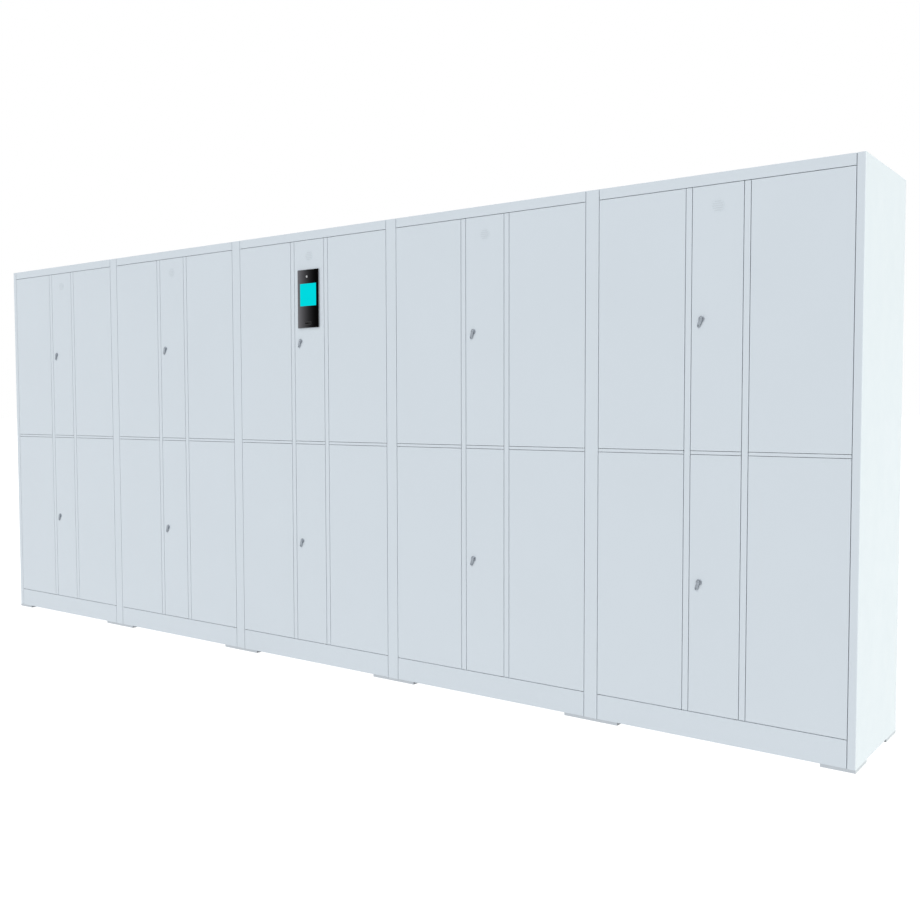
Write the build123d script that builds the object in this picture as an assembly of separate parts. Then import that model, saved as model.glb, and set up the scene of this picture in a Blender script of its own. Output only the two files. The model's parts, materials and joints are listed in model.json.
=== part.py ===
from build123d import *
import os

# A bank of sheet-steel luggage lockers: identical cabinets bolted side by side.
# X runs along the bank, Y runs to the back and Z is up, in millimetres.
# The origin is the middle of the footprint, on the floor.

# Driving dimensions
MODULES = 5
MODULE_WIDTH = 900
DEPTH = 490
CARCASS_HEIGHT = 1840
FOOT_HEIGHT = 10
FOOT_WIDTH = 105
FOOT_DEPTH = 125
SHEET = 1.2  # thickness of the sheet steel
GAP = 2  # clear gap round every door, rail and mullion
MID_GAP = 1.5  # the same above and below the middle rail
EDGE_RADIUS = 0.6  # the outside of a folded edge
CORNER_RADIUS = 3  # the bank's two upright front corners

# Front frame and doors
FRAME_DEPTH = 20
STILE_WIDTH = 25
MULLION_WIDTH = 20
SERVICE_WIDTH = 170
TOP_RAIL_HEIGHT = 36
MID_RAIL_HEIGHT = 10.5
KICK_HEIGHT = 87
DOOR_DEPTH = 16

# Hinges: each door turns on pins that stand in the rails
PIN_RADIUS = 3
PIN_CLEARANCE = 0.05
PIN_INSET = 8  # from the door's hinged edge to the pin's axis
PIN_SETBACK = 5.5  # from the front plane to the pin's axis
PIN_IN_DOOR = 20
PIN_IN_RAIL = 6
COLLAR_RADIUS = 5.5
COLLAR_PLAY = 0.1  # between a collar and the door above it
BUSH_HALF_WIDTH = PIN_INSET - SHEET
BUSH_HEIGHT = 22

# Stiffener and striker tongue on the back of a compartment door
STIFFENER_WIDTH = 60
STIFFENER_DEPTH = 14
STIFFENER_END = 60  # from the door's end to the stiffener's end
TONGUE_INSET = 10  # from the door's free edge to the tongue's middle
TONGUE_REACH = 44  # from the front plane to the tongue's tip
TONGUE_HEIGHT = 22
TONGUE_THICKNESS = 2
TONGUE_EYE_RADIUS = 4

# Electric lock on the divider beside each compartment door
LOCK_WIDTH = 22
LOCK_FRONT = 22
LOCK_BACK = 62
LOCK_HEIGHT = 70
MOUTH_WIDTH = 8
MOUTH_BACK = 48
MOUTH_HEIGHT = 30

# Key lock on each service door
KEY_INSET = 33.7  # from the door's free edge to the lock's axis
KEY_HEIGHTS = {"lower": 531.6, "upper": 1388.5}  # of the lock's axis, above the floor
FACE_RADIUS = 10
FACE_PROUD = 3.5
BARREL_RADIUS = 8.5
BARREL_BACK = 20
PLUG_RADIUS = 6
PLUG_PROUD = 5
PLUG_BACK = 22
NUT_RADIUS = 13
NUT_HEIGHT = 4
CAM_LENGTH = 52.5
CAM_WIDTH = 14
CAM_THICKNESS = 2.5
CAM_BOLT_RADIUS = 5
CAM_BOLT_HEIGHT = 4
KEY_BOW_WIDTH = 11
KEY_BOW_LENGTH = 23.5
KEY_BOW_THICKNESS = 2.6
KEY_BOW_LEAN = 22  # degrees, from straight down towards the door's free edge
KEY_BOW_TILT = 8  # degrees, its lower end towards the door
KEY_RING_RADIUS = 2.6

# Control panel on the middle cabinet's upper service door
PANEL_WIDTH = 122
PANEL_HEIGHT = 245
PANEL_PROUD = 6
PANEL_MIDDLE = 1565.5  # height of its middle above the floor
PANEL_CORNER = 3
PANEL_RIM = 1.2
PANEL_EDGE = 0.8  # rounding of the rim's front edge
GLASS_THICKNESS = 2.5
TUB_WIDTH = 106
TUB_HEIGHT = 224
TUB_DEPTH = 58
TUB_WALL = 2
CUT_OUT_CLEARANCE = 1
SCREEN_WIDTH = 93
SCREEN_HEIGHT = 94
SCREEN_RISE = 17  # above the panel's middle
LENS_RADIUS = 5
LENS_RISE = 93.5
LENS_SHIFT = -7
COIN_DROP = 103  # below the panel's middle
COIN_FACE = (48, 18)  # width and height
COIN_MOUTH = (34, 5.2)
COIN_MOUTH_DEPTH = 6
COIN_SLOT = (30, 2.8)
COIN_BODY_WIDTH = 56
COIN_BODY_HEIGHT = 42
COIN_CHUTE = (36, 50)  # behind the front plane

# Coin box on its bracket, below the panel
COIN_BOX_WIDTH = 110
COIN_BOX_FRONT = 33
COIN_BOX_DEPTH = 150
COIN_BOX_HEIGHT = 146
COIN_BOX_SHEET = 1.5
BRACKET_HEIGHT = 1300  # of the bracket's upper side, above the floor

# Fastenings and fittings
BOLT_RADIUS = 4
BOLT_HEAD_RADIUS = 7.5
BOLT_HEAD_HEIGHT = 5.3
BOLT_NUT_HEIGHT = 6.8
BOLT_INSETS = (45, 445)  # behind the front plane
BOLT_HEIGHTS = (55, 1832)  # above the floor
WALL_HOLE_RADIUS = 4.5
WALL_HOLE_SPACING = 700
WALL_HOLE_HEIGHT = 1750
INLET_HEIGHT = 160
INLET_CAVITY = (24, 16, 17)
INLET_BODY = (28, 20, 22)
INLET_FLANGE = (44, 24, 3)

# Worked out from the above
FRONT = -DEPTH / 2
BACK = DEPTH / 2
LEFT_END = -MODULES * MODULE_WIDTH / 2
BOTTOM = FOOT_HEIGHT
TOP = BOTTOM + CARCASS_HEIGHT
HALF = MODULE_WIDTH / 2
MIDDLE_MODULE = MODULES // 2
INSIDE_FRONT = FRONT + FRAME_DEPTH
INSIDE_BACK = BACK - SHEET

SERVICE_X = (HALF - SERVICE_WIDTH / 2, HALF + SERVICE_WIDTH / 2)
MULLION_X = (SERVICE_X[0] - GAP - MULLION_WIDTH, SERVICE_X[0] - GAP)
DOOR_X = (STILE_WIDTH + GAP, MULLION_X[0] - GAP)
RAIL_X = (STILE_WIDTH + GAP, MODULE_WIDTH - STILE_WIDTH - GAP)
DIVIDER_X = (MULLION_X[0], MULLION_X[0] + SHEET)
COLUMN_X = (DIVIDER_X[1], MODULE_WIDTH - DIVIDER_X[1])

KICK_Z = (BOTTOM, BOTTOM + KICK_HEIGHT)
TOP_RAIL_Z = (TOP - TOP_RAIL_HEIGHT, TOP)
OPEN_HEIGHT = TOP_RAIL_Z[0] - KICK_Z[1]
DOOR_HEIGHT = (OPEN_HEIGHT - MID_RAIL_HEIGHT - 2 * GAP - 2 * MID_GAP) / 2
LOWER_Z = (KICK_Z[1] + GAP, KICK_Z[1] + GAP + DOOR_HEIGHT)
MID_RAIL_Z = (LOWER_Z[1] + MID_GAP, LOWER_Z[1] + MID_GAP + MID_RAIL_HEIGHT)
UPPER_Z = (MID_RAIL_Z[1] + MID_GAP, MID_RAIL_Z[1] + MID_GAP + DOOR_HEIGHT)
ROWS = {"lower": LOWER_Z, "upper": UPPER_Z}

PIN_Y = FRONT + PIN_SETBACK
SIDE_PIN_X = DOOR_X[0] + PIN_INSET
SERVICE_PIN_X = SERVICE_X[1] - PIN_INSET
KEY_X = SERVICE_X[0] + KEY_INSET
TONGUE_X = DOOR_X[1] - TONGUE_INSET

PANEL_FACE = FRONT - PANEL_PROUD
GLASS_BACK = PANEL_FACE + GLASS_THICKNESS
SCREEN_Z = PANEL_MIDDLE + SCREEN_RISE
LENS_X = HALF + LENS_SHIFT
LENS_Z = PANEL_MIDDLE + LENS_RISE
COIN_Z = PANEL_MIDDLE - COIN_DROP


# Shapes that the pieces are made of. Their X is measured from a cabinet's left end.


def block(x, y, z):
    """A box between a low and a high place along each axis."""
    size = [high - low for low, high in (x, y, z)]
    middle = [(high + low) / 2 for low, high in (x, y, z)]
    return Pos(*middle) * Box(*size)


def around(middle, size):
    """The low and the high place of a size set about a middle."""
    return (middle - size / 2, middle + size / 2)


def upright(x, y, z, radius):
    """A round bar along Z."""
    return Pos(x, y, (z[0] + z[1]) / 2) * Cylinder(radius, z[1] - z[0])


def crosswise(y, z, x, radius):
    """A round bar along X."""
    return Pos((x[0] + x[1]) / 2, y, z) * Rot(0, 90, 0) * Cylinder(radius, x[1] - x[0])


def inward(x, z, y, radius):
    """A round bar along Y."""
    return Pos(x, (y[0] + y[1]) / 2, z) * Rot(90, 0, 0) * Cylinder(radius, y[1] - y[0])


def hexagon(x, z, y, radius):
    """A hexagonal bar along Y, its size given across its corners."""
    bar = extrude(RegularPolygon(radius, 6), y[1] - y[0])
    return Pos(x, y[1], z) * Rot(90, 0, 0) * bar


def tray(x, z, depth):
    """A folded sheet tray with its face on the front plane and its open side at the back."""
    y = (FRONT, FRONT + depth)
    outside = block(x, y, z)
    face = outside.faces().sort_by(Axis.Y)[0]
    outside = fillet(face.edges(), EDGE_RADIUS)
    return outside - hollow(x, z, depth)


def hollow(x, z, depth):
    """What is cut out of a tray, right through its open back."""
    inside_x = (x[0] + SHEET, x[1] - SHEET)
    inside_z = (z[0] + SHEET, z[1] - SHEET)
    return block(inside_x, (FRONT + SHEET, FRONT + depth + 1), inside_z)


def other_hand(shape):
    """The same piece on the other side of its cabinet."""
    return mirror(shape, about=Plane.YZ.offset(HALF))


def both_hands(shape):
    return [shape, other_hand(shape)]


def in_module(shape, module):
    return Pos(LEFT_END + module * MODULE_WIDTH, 0, 0) * shape


def in_every_module(shapes):
    return [in_module(shape, m) for m in range(MODULES) for shape in shapes]


def save(node, shapes):
    """Writes one node, whose pieces stay separate solids."""
    solids = [solid for shape in shapes for solid in shape.solids()]
    export_step(Compound(solids), f"parts/{node}.step")


# Cabinet shells


def bolt_places():
    return [(FRONT + inset, height) for inset in BOLT_INSETS for height in BOLT_HEIGHTS]


def side_panels():
    """A plain sheet at each side; the ones inside the bank have holes for the joining bolts."""
    panels = []
    for module in range(MODULES):
        for at_left in (True, False):
            x = (0, SHEET) if at_left else (MODULE_WIDTH - SHEET, MODULE_WIDTH)
            panel = block(x, (INSIDE_FRONT, BACK), (BOTTOM, TOP))
            outer = panel.faces().sort_by(Axis.X)[0 if at_left else -1]
            back_edge = outer.edges().sort_by(Axis.Y)[-1]
            top_edge = outer.edges().sort_by(Axis.Z)[-1]
            panel = fillet([back_edge, top_edge], EDGE_RADIUS)
            at_bank_end = module == 0 if at_left else module == MODULES - 1
            if not at_bank_end:
                for y, z in bolt_places():
                    panel -= crosswise(y, z, (x[0] - 1, x[1] + 1), BOLT_RADIUS)
            panels.append(in_module(panel, module))
    return panels


def plate(z):
    """A sheet over the cabinet's whole footprint, inside its side and back panels."""
    return block((SHEET, MODULE_WIDTH - SHEET), (INSIDE_FRONT, INSIDE_BACK), z)


def top_panels():
    return in_every_module([plate((TOP - SHEET, TOP))])


def base_panels():
    """The floor of the lower compartments, and the underside that the feet are fixed to."""
    return in_every_module([plate((KICK_Z[1] - SHEET, KICK_Z[1])), plate((BOTTOM, BOTTOM + SHEET))])


def back_panels():
    """Back sheets with two wall-fixing holes each; the middle one also has the inlet's cut-out."""
    sheet = block((SHEET, MODULE_WIDTH - SHEET), (INSIDE_BACK, BACK), (BOTTOM, TOP))
    through = (INSIDE_BACK - 1, BACK + 1)
    for x in around(HALF, WALL_HOLE_SPACING):
        sheet -= inward(x, WALL_HOLE_HEIGHT, through, WALL_HOLE_RADIUS)
    panels = [sheet] * MODULES
    inlet_x, inlet_z = around(HALF, INLET_BODY[0]), around(INLET_HEIGHT, INLET_BODY[1])
    panels[MIDDLE_MODULE] = sheet - block(inlet_x, through, inlet_z)
    return [in_module(panel, m) for m, panel in enumerate(panels)]


def column_dividers():
    """Upright sheets between the compartments and the service column."""
    z = (KICK_Z[1], TOP - SHEET)
    return in_every_module(both_hands(block(DIVIDER_X, (INSIDE_FRONT, INSIDE_BACK), z)))


def shelves():
    """A full shelf in each side, and a short ledge behind the service column's middle rail."""
    z = (MID_RAIL_Z[1] - SHEET, MID_RAIL_Z[1])
    shelf = block((SHEET, DIVIDER_X[0]), (INSIDE_FRONT, INSIDE_BACK), z)
    ledge = block(COLUMN_X, (INSIDE_FRONT, INSIDE_FRONT + 2 * FRAME_DEPTH), z)
    return in_every_module(both_hands(shelf) + [ledge])


def stile(x, outer_radius):
    """An outer post; the radius rounds its left front corner, and 0 leaves it sharp."""
    z = (BOTTOM, TOP)
    outside = block(x, (FRONT, INSIDE_FRONT), z)
    corners = outside.edges().filter_by(Axis.Z).sort_by(Axis.Y)[:2].sort_by(Axis.X)
    outside = fillet(corners[1], EDGE_RADIUS)
    if outer_radius:
        corner = outside.edges().filter_by(Axis.Z).sort_by(Axis.X)[:2].sort_by(Axis.Y)[0]
        outside = fillet(corner, outer_radius)
    return outside - hollow(x, z, FRAME_DEPTH)


def front_posts():
    """Two outer posts and two mullions in each cabinet's front."""
    inner_post = stile((0, STILE_WIDTH), 0)
    end_post = stile((0, STILE_WIDTH), CORNER_RADIUS)
    mullion = tray(MULLION_X, (LOWER_Z[0], UPPER_Z[1]), FRAME_DEPTH)
    posts = in_every_module(both_hands(mullion))
    for module in range(MODULES):
        left = end_post if module == 0 else inner_post
        right = end_post if module == MODULES - 1 else inner_post
        posts += [in_module(left, module), in_module(other_hand(right), module)]
    return posts


def front_rails():
    """Top rails, kick plates and the three short middle rails, drilled for the hinge pins."""
    top = tray(RAIL_X, TOP_RAIL_Z, FRAME_DEPTH)
    kick = tray(RAIL_X, KICK_Z, FRAME_DEPTH)
    middles = both_hands(tray(DOOR_X, MID_RAIL_Z, FRAME_DEPTH))
    middles.append(tray(SERVICE_X, MID_RAIL_Z, FRAME_DEPTH))
    rails = [top, kick] + middles
    for x in (SIDE_PIN_X, SERVICE_PIN_X, MODULE_WIDTH - SIDE_PIN_X):
        for z in pin_spans():
            rails = [rail - upright(x, PIN_Y, z, PIN_RADIUS) for rail in rails]
    return in_every_module(rails)


def foot_plates():
    """Flat plates under the four corners of each cabinet."""
    feet = []
    for x in ((0, FOOT_WIDTH), (MODULE_WIDTH - FOOT_WIDTH, MODULE_WIDTH)):
        for y in ((FRONT, FRONT + FOOT_DEPTH), (BACK - FOOT_DEPTH, BACK)):
            feet.append(block(x, y, (0, FOOT_HEIGHT)))
    return in_every_module(feet)


def joining_bolts():
    """Bolts and nuts through the side panels where two cabinets meet."""
    pieces = []
    for y, z in bolt_places():
        head = crosswise(y, z, (SHEET, SHEET + BOLT_HEAD_HEIGHT), BOLT_HEAD_RADIUS)
        shank = crosswise(y, z, (-SHEET - BOLT_NUT_HEIGHT - 2, SHEET), BOLT_RADIUS)
        nut = crosswise(y, z, (-SHEET - BOLT_NUT_HEIGHT, -SHEET), BOLT_HEAD_RADIUS)
        pieces += [head + shank, nut - shank]
    return [in_module(piece, m) for m in range(1, MODULES) for piece in pieces]


# Doors and their hinges


def pin_spans():
    """Where the three pins of one column of doors begin and end."""
    return [
        (KICK_Z[1] - PIN_IN_RAIL, LOWER_Z[0] + PIN_IN_DOOR),
        (LOWER_Z[1] - PIN_IN_DOOR, UPPER_Z[0] + PIN_IN_DOOR),
        (UPPER_Z[1] - PIN_IN_DOOR, TOP_RAIL_Z[0] + PIN_IN_RAIL),
    ]


def hinge_pins():
    """Fixed pins; a collar on the lower and the middle one carries the door above it."""
    lower, middle, upper = pin_spans()
    pins = []
    for x in (SIDE_PIN_X, SERVICE_PIN_X, MODULE_WIDTH - SIDE_PIN_X):
        for span, rail_top, door_z in ((lower, KICK_Z[1], LOWER_Z), (middle, MID_RAIL_Z[1], UPPER_Z)):
            collar_z = (rail_top, door_z[0] - COLLAR_PLAY)
            collar = upright(x, PIN_Y, collar_z, COLLAR_RADIUS)
            pins.append(upright(x, PIN_Y, span, PIN_RADIUS) + collar)
        pins.append(upright(x, PIN_Y, upper, PIN_RADIUS))
    return in_every_module(pins)


def door_shell(x, z, pin_x):
    """A door tray, pierced for its pins, and the bush welded inside each end."""
    drill = upright(pin_x, PIN_Y, (z[0] - 1, z[1] + 1), PIN_RADIUS + PIN_CLEARANCE)
    shell = tray(x, z, DOOR_DEPTH) - drill
    bush_x = (pin_x - BUSH_HALF_WIDTH, pin_x + BUSH_HALF_WIDTH)
    bush_y = (FRONT + SHEET, FRONT + DOOR_DEPTH - 2)
    bush_low = (z[0] + SHEET, z[0] + SHEET + BUSH_HEIGHT)
    bush_high = (z[1] - SHEET - BUSH_HEIGHT, z[1] - SHEET)
    bushes = [block(bush_x, bush_y, bush_z) - drill for bush_z in (bush_low, bush_high)]
    return [shell] + bushes


def compartment_door(z):
    """A left-hand compartment door: shell, stiffener and the tongue that the lock holds."""
    middle_x, middle_z = sum(DOOR_X) / 2, sum(z) / 2
    stiffener_z = (z[0] + STIFFENER_END, z[1] - STIFFENER_END)
    stiffener_y = (FRONT + SHEET, FRONT + STIFFENER_DEPTH)
    outside = block(around(middle_x, STIFFENER_WIDTH), stiffener_y, stiffener_z)
    inside_y = (FRONT, FRONT + STIFFENER_DEPTH - SHEET)
    inside = block(around(middle_x, STIFFENER_WIDTH - 2 * SHEET), inside_y, stiffener_z)
    tongue_y = (FRONT + SHEET, FRONT + TONGUE_REACH)
    tongue_z = around(middle_z, TONGUE_HEIGHT)
    tongue = block(around(TONGUE_X, TONGUE_THICKNESS), tongue_y, tongue_z)
    eye_y = FRONT + TONGUE_REACH - 2 * TONGUE_EYE_RADIUS
    tongue -= crosswise(eye_y, middle_z, around(TONGUE_X, 2 * LOCK_WIDTH), TONGUE_EYE_RADIUS)
    return door_shell(DOOR_X, z, SIDE_PIN_X) + [outside - inside, tongue]


def service_door(z, lock_z, holds_panel):
    """A service door with its lock housing and nut, and a cut-out where it holds the panel."""
    drill = inward(KEY_X, lock_z, (FRONT - 1, FRONT + DOOR_DEPTH), BARREL_RADIUS)
    shell, *bushes = door_shell(SERVICE_X, z, SERVICE_PIN_X)
    shell -= drill
    if holds_panel:
        hole_x = around(HALF, TUB_WIDTH + 2 * CUT_OUT_CLEARANCE)
        hole_z = around(PANEL_MIDDLE, TUB_HEIGHT + 2 * CUT_OUT_CLEARANCE)
        shell -= block(hole_x, (FRONT - 1, FRONT + SHEET + 1), hole_z)
    face = inward(KEY_X, lock_z, (FRONT - FACE_PROUD, FRONT), FACE_RADIUS)
    rim = face.edges().group_by(Axis.Y)[0]
    face = fillet(rim, 1.5)
    barrel = inward(KEY_X, lock_z, (FRONT, FRONT + BARREL_BACK), BARREL_RADIUS)
    bore_y = (FRONT - FACE_PROUD - 1, FRONT + BARREL_BACK + 1)
    bore = inward(KEY_X, lock_z, bore_y, PLUG_RADIUS + PIN_CLEARANCE)
    nut_y = (FRONT + SHEET, FRONT + SHEET + NUT_HEIGHT)
    nut = hexagon(KEY_X, lock_z, nut_y, NUT_RADIUS) - barrel
    return [shell, face + barrel - bore, nut] + bushes


def key_lock(lock_z):
    """The turning part of a key lock, unlocked: plug, cam with its bolt, and the folded key."""
    plug_y = (FRONT - PLUG_PROUD, FRONT + PLUG_BACK)
    plug = inward(KEY_X, lock_z, plug_y, PLUG_RADIUS)
    cam_y = (plug_y[1], plug_y[1] + CAM_THICKNESS)
    tip_z = lock_z + CAM_LENGTH - CAM_WIDTH / 2
    cam = block(around(KEY_X, CAM_WIDTH), cam_y, (lock_z, tip_z))
    cam += inward(KEY_X, lock_z, cam_y, CAM_WIDTH / 2)
    cam += inward(KEY_X, tip_z, cam_y, CAM_WIDTH / 2)
    bolt_y = (cam_y[1], cam_y[1] + CAM_BOLT_HEIGHT)
    bolt = hexagon(KEY_X, lock_z, bolt_y, CAM_BOLT_RADIUS)
    key_y = (plug_y[0] - KEY_BOW_THICKNESS, plug_y[0])
    bow_z = (lock_z - KEY_BOW_LENGTH, lock_z)
    bow = block(around(KEY_X, KEY_BOW_WIDTH), key_y, bow_z)
    for end_z in bow_z:
        bow += inward(KEY_X, end_z, key_y, KEY_BOW_WIDTH / 2)
    bow = fillet(bow.edges().group_by(Axis.Y)[0], 0.8)
    bow -= inward(KEY_X, bow_z[0], (key_y[0] - 1, key_y[1] + 1), KEY_RING_RADIUS)
    turned = Rot(0, KEY_BOW_LEAN, 0) * Rot(KEY_BOW_TILT, 0, 0)
    bow = Pos(KEY_X, key_y[1], lock_z) * turned * Pos(-KEY_X, -key_y[1], -lock_z) * bow
    return [plug, cam, bolt, bow]


def electric_locks():
    """One lock on each compartment's side of a divider, with a mouth for the door's tongue."""
    locks = []
    for z in ROWS.values():
        middle_z = sum(z) / 2
        lock_y = (FRONT + LOCK_FRONT, FRONT + LOCK_BACK)
        lock_x = (DIVIDER_X[0] - LOCK_WIDTH, DIVIDER_X[0])
        body = block(lock_x, lock_y, around(middle_z, LOCK_HEIGHT))
        mouth_x = around(TONGUE_X + 1, MOUTH_WIDTH)
        mouth_y = (lock_y[0] - 1, FRONT + MOUTH_BACK)
        locks.append(body - block(mouth_x, mouth_y, around(middle_z, MOUTH_HEIGHT)))
        locks.append(other_hand(locks[-1]))
    return in_every_module(locks)


# Control panel


def coin_opening(size, y):
    return block(around(HALF, size[0]), y, around(COIN_Z, size[1]))


def panel_housing():
    """The frame round the glass, and the tub behind it that passes through the door."""
    frame_x, frame_z = around(HALF, PANEL_WIDTH), around(PANEL_MIDDLE, PANEL_HEIGHT)
    frame = block(frame_x, (PANEL_FACE, FRONT), frame_z)
    frame = fillet(frame.edges().filter_by(Axis.Y), PANEL_CORNER)
    frame = fillet(frame.edges().group_by(Axis.Y)[0], PANEL_EDGE)
    seat_x = around(HALF, PANEL_WIDTH - 2 * PANEL_RIM)
    seat_z = around(PANEL_MIDDLE, PANEL_HEIGHT - 2 * PANEL_RIM)
    seat = block(seat_x, (PANEL_FACE - 1, GLASS_BACK), seat_z)
    seat = fillet(seat.edges().filter_by(Axis.Y), PANEL_CORNER - PANEL_RIM)
    tub_x, tub_z = around(HALF, TUB_WIDTH), around(PANEL_MIDDLE, TUB_HEIGHT)
    tub = block(tub_x, (FRONT, FRONT + TUB_DEPTH), tub_z)
    room_x = around(HALF, TUB_WIDTH - 2 * TUB_WALL)
    room_z = around(PANEL_MIDDLE, TUB_HEIGHT - 2 * TUB_WALL)
    room = block(room_x, (PANEL_FACE, FRONT + TUB_DEPTH - TUB_WALL), room_z)
    chute_y = (FRONT + COIN_CHUTE[0], FRONT + COIN_CHUTE[1])
    chute = block(around(HALF, COIN_SLOT[0]), chute_y, (tub_z[0] - 1, tub_z[0] + TUB_WALL + 1))
    return [frame + tub - seat - room - chute]


def panel_glass():
    """The black glass, with windows for the screen, the lens and the coin entry."""
    glass_x = around(HALF, PANEL_WIDTH - 2 * PANEL_RIM)
    glass_z = around(PANEL_MIDDLE, PANEL_HEIGHT - 2 * PANEL_RIM)
    glass = block(glass_x, (PANEL_FACE, GLASS_BACK), glass_z)
    glass = fillet(glass.edges().filter_by(Axis.Y), PANEL_CORNER - PANEL_RIM)
    through = (PANEL_FACE - 1, GLASS_BACK + 1)
    screen_x, screen_z = around(HALF, SCREEN_WIDTH), around(SCREEN_Z, SCREEN_HEIGHT)
    glass -= block(screen_x, through, screen_z)
    glass -= inward(LENS_X, LENS_Z, through, LENS_RADIUS)
    return [glass - coin_opening(COIN_FACE, through)]


def touch_screen():
    """The display in its window, and the board behind it."""
    window_y = (PANEL_FACE + 0.2, GLASS_BACK)
    display = block(around(HALF, SCREEN_WIDTH), window_y, around(SCREEN_Z, SCREEN_HEIGHT))
    back_x, back_z = around(HALF, SCREEN_WIDTH + 4), around(SCREEN_Z, SCREEN_HEIGHT + 8)
    display += block(back_x, (GLASS_BACK, GLASS_BACK + 8), back_z)
    board_y = (GLASS_BACK + 8, GLASS_BACK + 20)
    board_x, board_z = around(HALF, SCREEN_WIDTH - 15), around(SCREEN_Z, SCREEN_HEIGHT - 21)
    board = block(board_x, board_y, board_z)
    return [display, board]


def camera_lens():
    """A round lens in the glass, with its barrel behind."""
    lens = inward(LENS_X, LENS_Z, (PANEL_FACE, GLASS_BACK), LENS_RADIUS)
    barrel = inward(LENS_X, LENS_Z, (GLASS_BACK, GLASS_BACK + 18), LENS_RADIUS + 3)
    return [lens + barrel]


def coin_acceptor():
    """The coin entry in the glass and the body behind it, whose slot turns down into a chute."""
    face = coin_opening(COIN_FACE, (PANEL_FACE, GLASS_BACK))
    low = PANEL_MIDDLE - TUB_HEIGHT / 2 + TUB_WALL
    body_y = (GLASS_BACK, FRONT + COIN_CHUTE[1] + 3)
    body = block(around(HALF, COIN_BODY_WIDTH), body_y, (low, low + COIN_BODY_HEIGHT))
    mouth = coin_opening(COIN_MOUTH, (PANEL_FACE - 1, PANEL_FACE + COIN_MOUTH_DEPTH))
    slot = coin_opening(COIN_SLOT, (PANEL_FACE, FRONT + COIN_CHUTE[1]))
    chute_y = (FRONT + COIN_CHUTE[0], FRONT + COIN_CHUTE[1])
    chute_z = (low - 1, COIN_Z + COIN_SLOT[1] / 2)
    chute = block(around(HALF, COIN_SLOT[0]), chute_y, chute_z)
    return [face + body - mouth - slot - chute]


def coin_box():
    """The cash box under the chute: bracket across the column, box and lid with its inlet."""
    y = (FRONT + COIN_BOX_FRONT, FRONT + COIN_BOX_FRONT + COIN_BOX_DEPTH)
    x = around(HALF, COIN_BOX_WIDTH)
    z = (BRACKET_HEIGHT, BRACKET_HEIGHT + COIN_BOX_HEIGHT - COIN_BOX_SHEET)
    inside = [(low + COIN_BOX_SHEET, high - COIN_BOX_SHEET) for low, high in (x, y)]
    box = block(x, y, z) - block(*inside, (z[0] + COIN_BOX_SHEET, z[1] + 1))
    inlet_y = (FRONT + COIN_CHUTE[0] - 1, FRONT + COIN_CHUTE[1] + 1)
    inlet_x = around(HALF, COIN_SLOT[0] + 6)
    lid = block(x, y, (z[1], z[1] + COIN_BOX_SHEET))
    lid -= block(inlet_x, inlet_y, (z[1] - 1, z[1] + COIN_BOX_SHEET + 1))
    bracket_z = (BRACKET_HEIGHT - SHEET, BRACKET_HEIGHT)
    bracket = block(COLUMN_X, (y[0] - 2, y[1] + 10), bracket_z)
    return [in_module(piece, MIDDLE_MODULE) for piece in (bracket, box, lid)]


# Electrics


def board(z, height, parts_across):
    """A circuit board on the back panel, standing on spacers, with a row of parts along each end."""
    width = 100
    plate_y = (INSIDE_BACK - 8, INSIDE_BACK - 6.4)
    made = block(around(HALF, width), plate_y, (z, z + height))
    for x in around(HALF, width - 12):
        for spacer_z in (z + 6, z + height - 6):
            made += inward(x, spacer_z, (plate_y[1], INSIDE_BACK), 3)
    pitch = width / parts_across
    for i in range(parts_across):
        x = HALF - width / 2 + pitch * (i + 0.5)
        for part_z in (z + 22, z + height - 22):
            made += block(around(x, 0.7 * pitch), (plate_y[0] - 15, plate_y[0]), around(part_z, 16))
    return made


def control_electronics():
    """A lock board in every service column, and the main board and power supply in the middle."""
    boards = in_every_module([board(900, 160, 4)])
    main = board(560, 200, 3)
    supply = block(around(HALF, 100), (INSIDE_BACK - 42, INSIDE_BACK), (300, 460))
    return boards + [in_module(main, MIDDLE_MODULE), in_module(supply, MIDDLE_MODULE)]


def mains_inlet():
    """A flush mains inlet in the middle cabinet's back: body with three pins in its cavity."""
    x, z = around(HALF, INLET_BODY[0]), around(INLET_HEIGHT, INLET_BODY[1])
    body = block(x, (BACK - INLET_BODY[2], BACK), z)
    flange_y = (INSIDE_BACK - INLET_FLANGE[2], INSIDE_BACK)
    body += block(around(HALF, INLET_FLANGE[0]), flange_y, around(INLET_HEIGHT, INLET_FLANGE[1]))
    cavity_y = (BACK - INLET_CAVITY[2], BACK + 1)
    cavity_z = around(INLET_HEIGHT, INLET_CAVITY[1])
    body -= block(around(HALF, INLET_CAVITY[0]), cavity_y, cavity_z)
    pin_y = (BACK - INLET_CAVITY[2], BACK - 6)
    for shift, rise in ((-7, -1), (0, 2), (7, -1)):
        body += block(around(HALF + shift, 2), pin_y, around(INLET_HEIGHT + rise, 4))
    return [in_module(body, MIDDLE_MODULE)]


def write_fixed_nodes():
    save("side_panels", side_panels())
    save("top_panels", top_panels())
    save("base_panels", base_panels())
    save("back_panels", back_panels())
    save("column_dividers", column_dividers())
    save("shelves", shelves())
    save("front_posts", front_posts())
    save("front_rails", front_rails())
    save("foot_plates", foot_plates())
    save("joining_bolts", joining_bolts())
    save("hinge_pins", hinge_pins())
    save("electric_locks", electric_locks())
    save("control_electronics", control_electronics())
    save("mains_inlet", mains_inlet())
    save("coin_box", coin_box())


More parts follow.
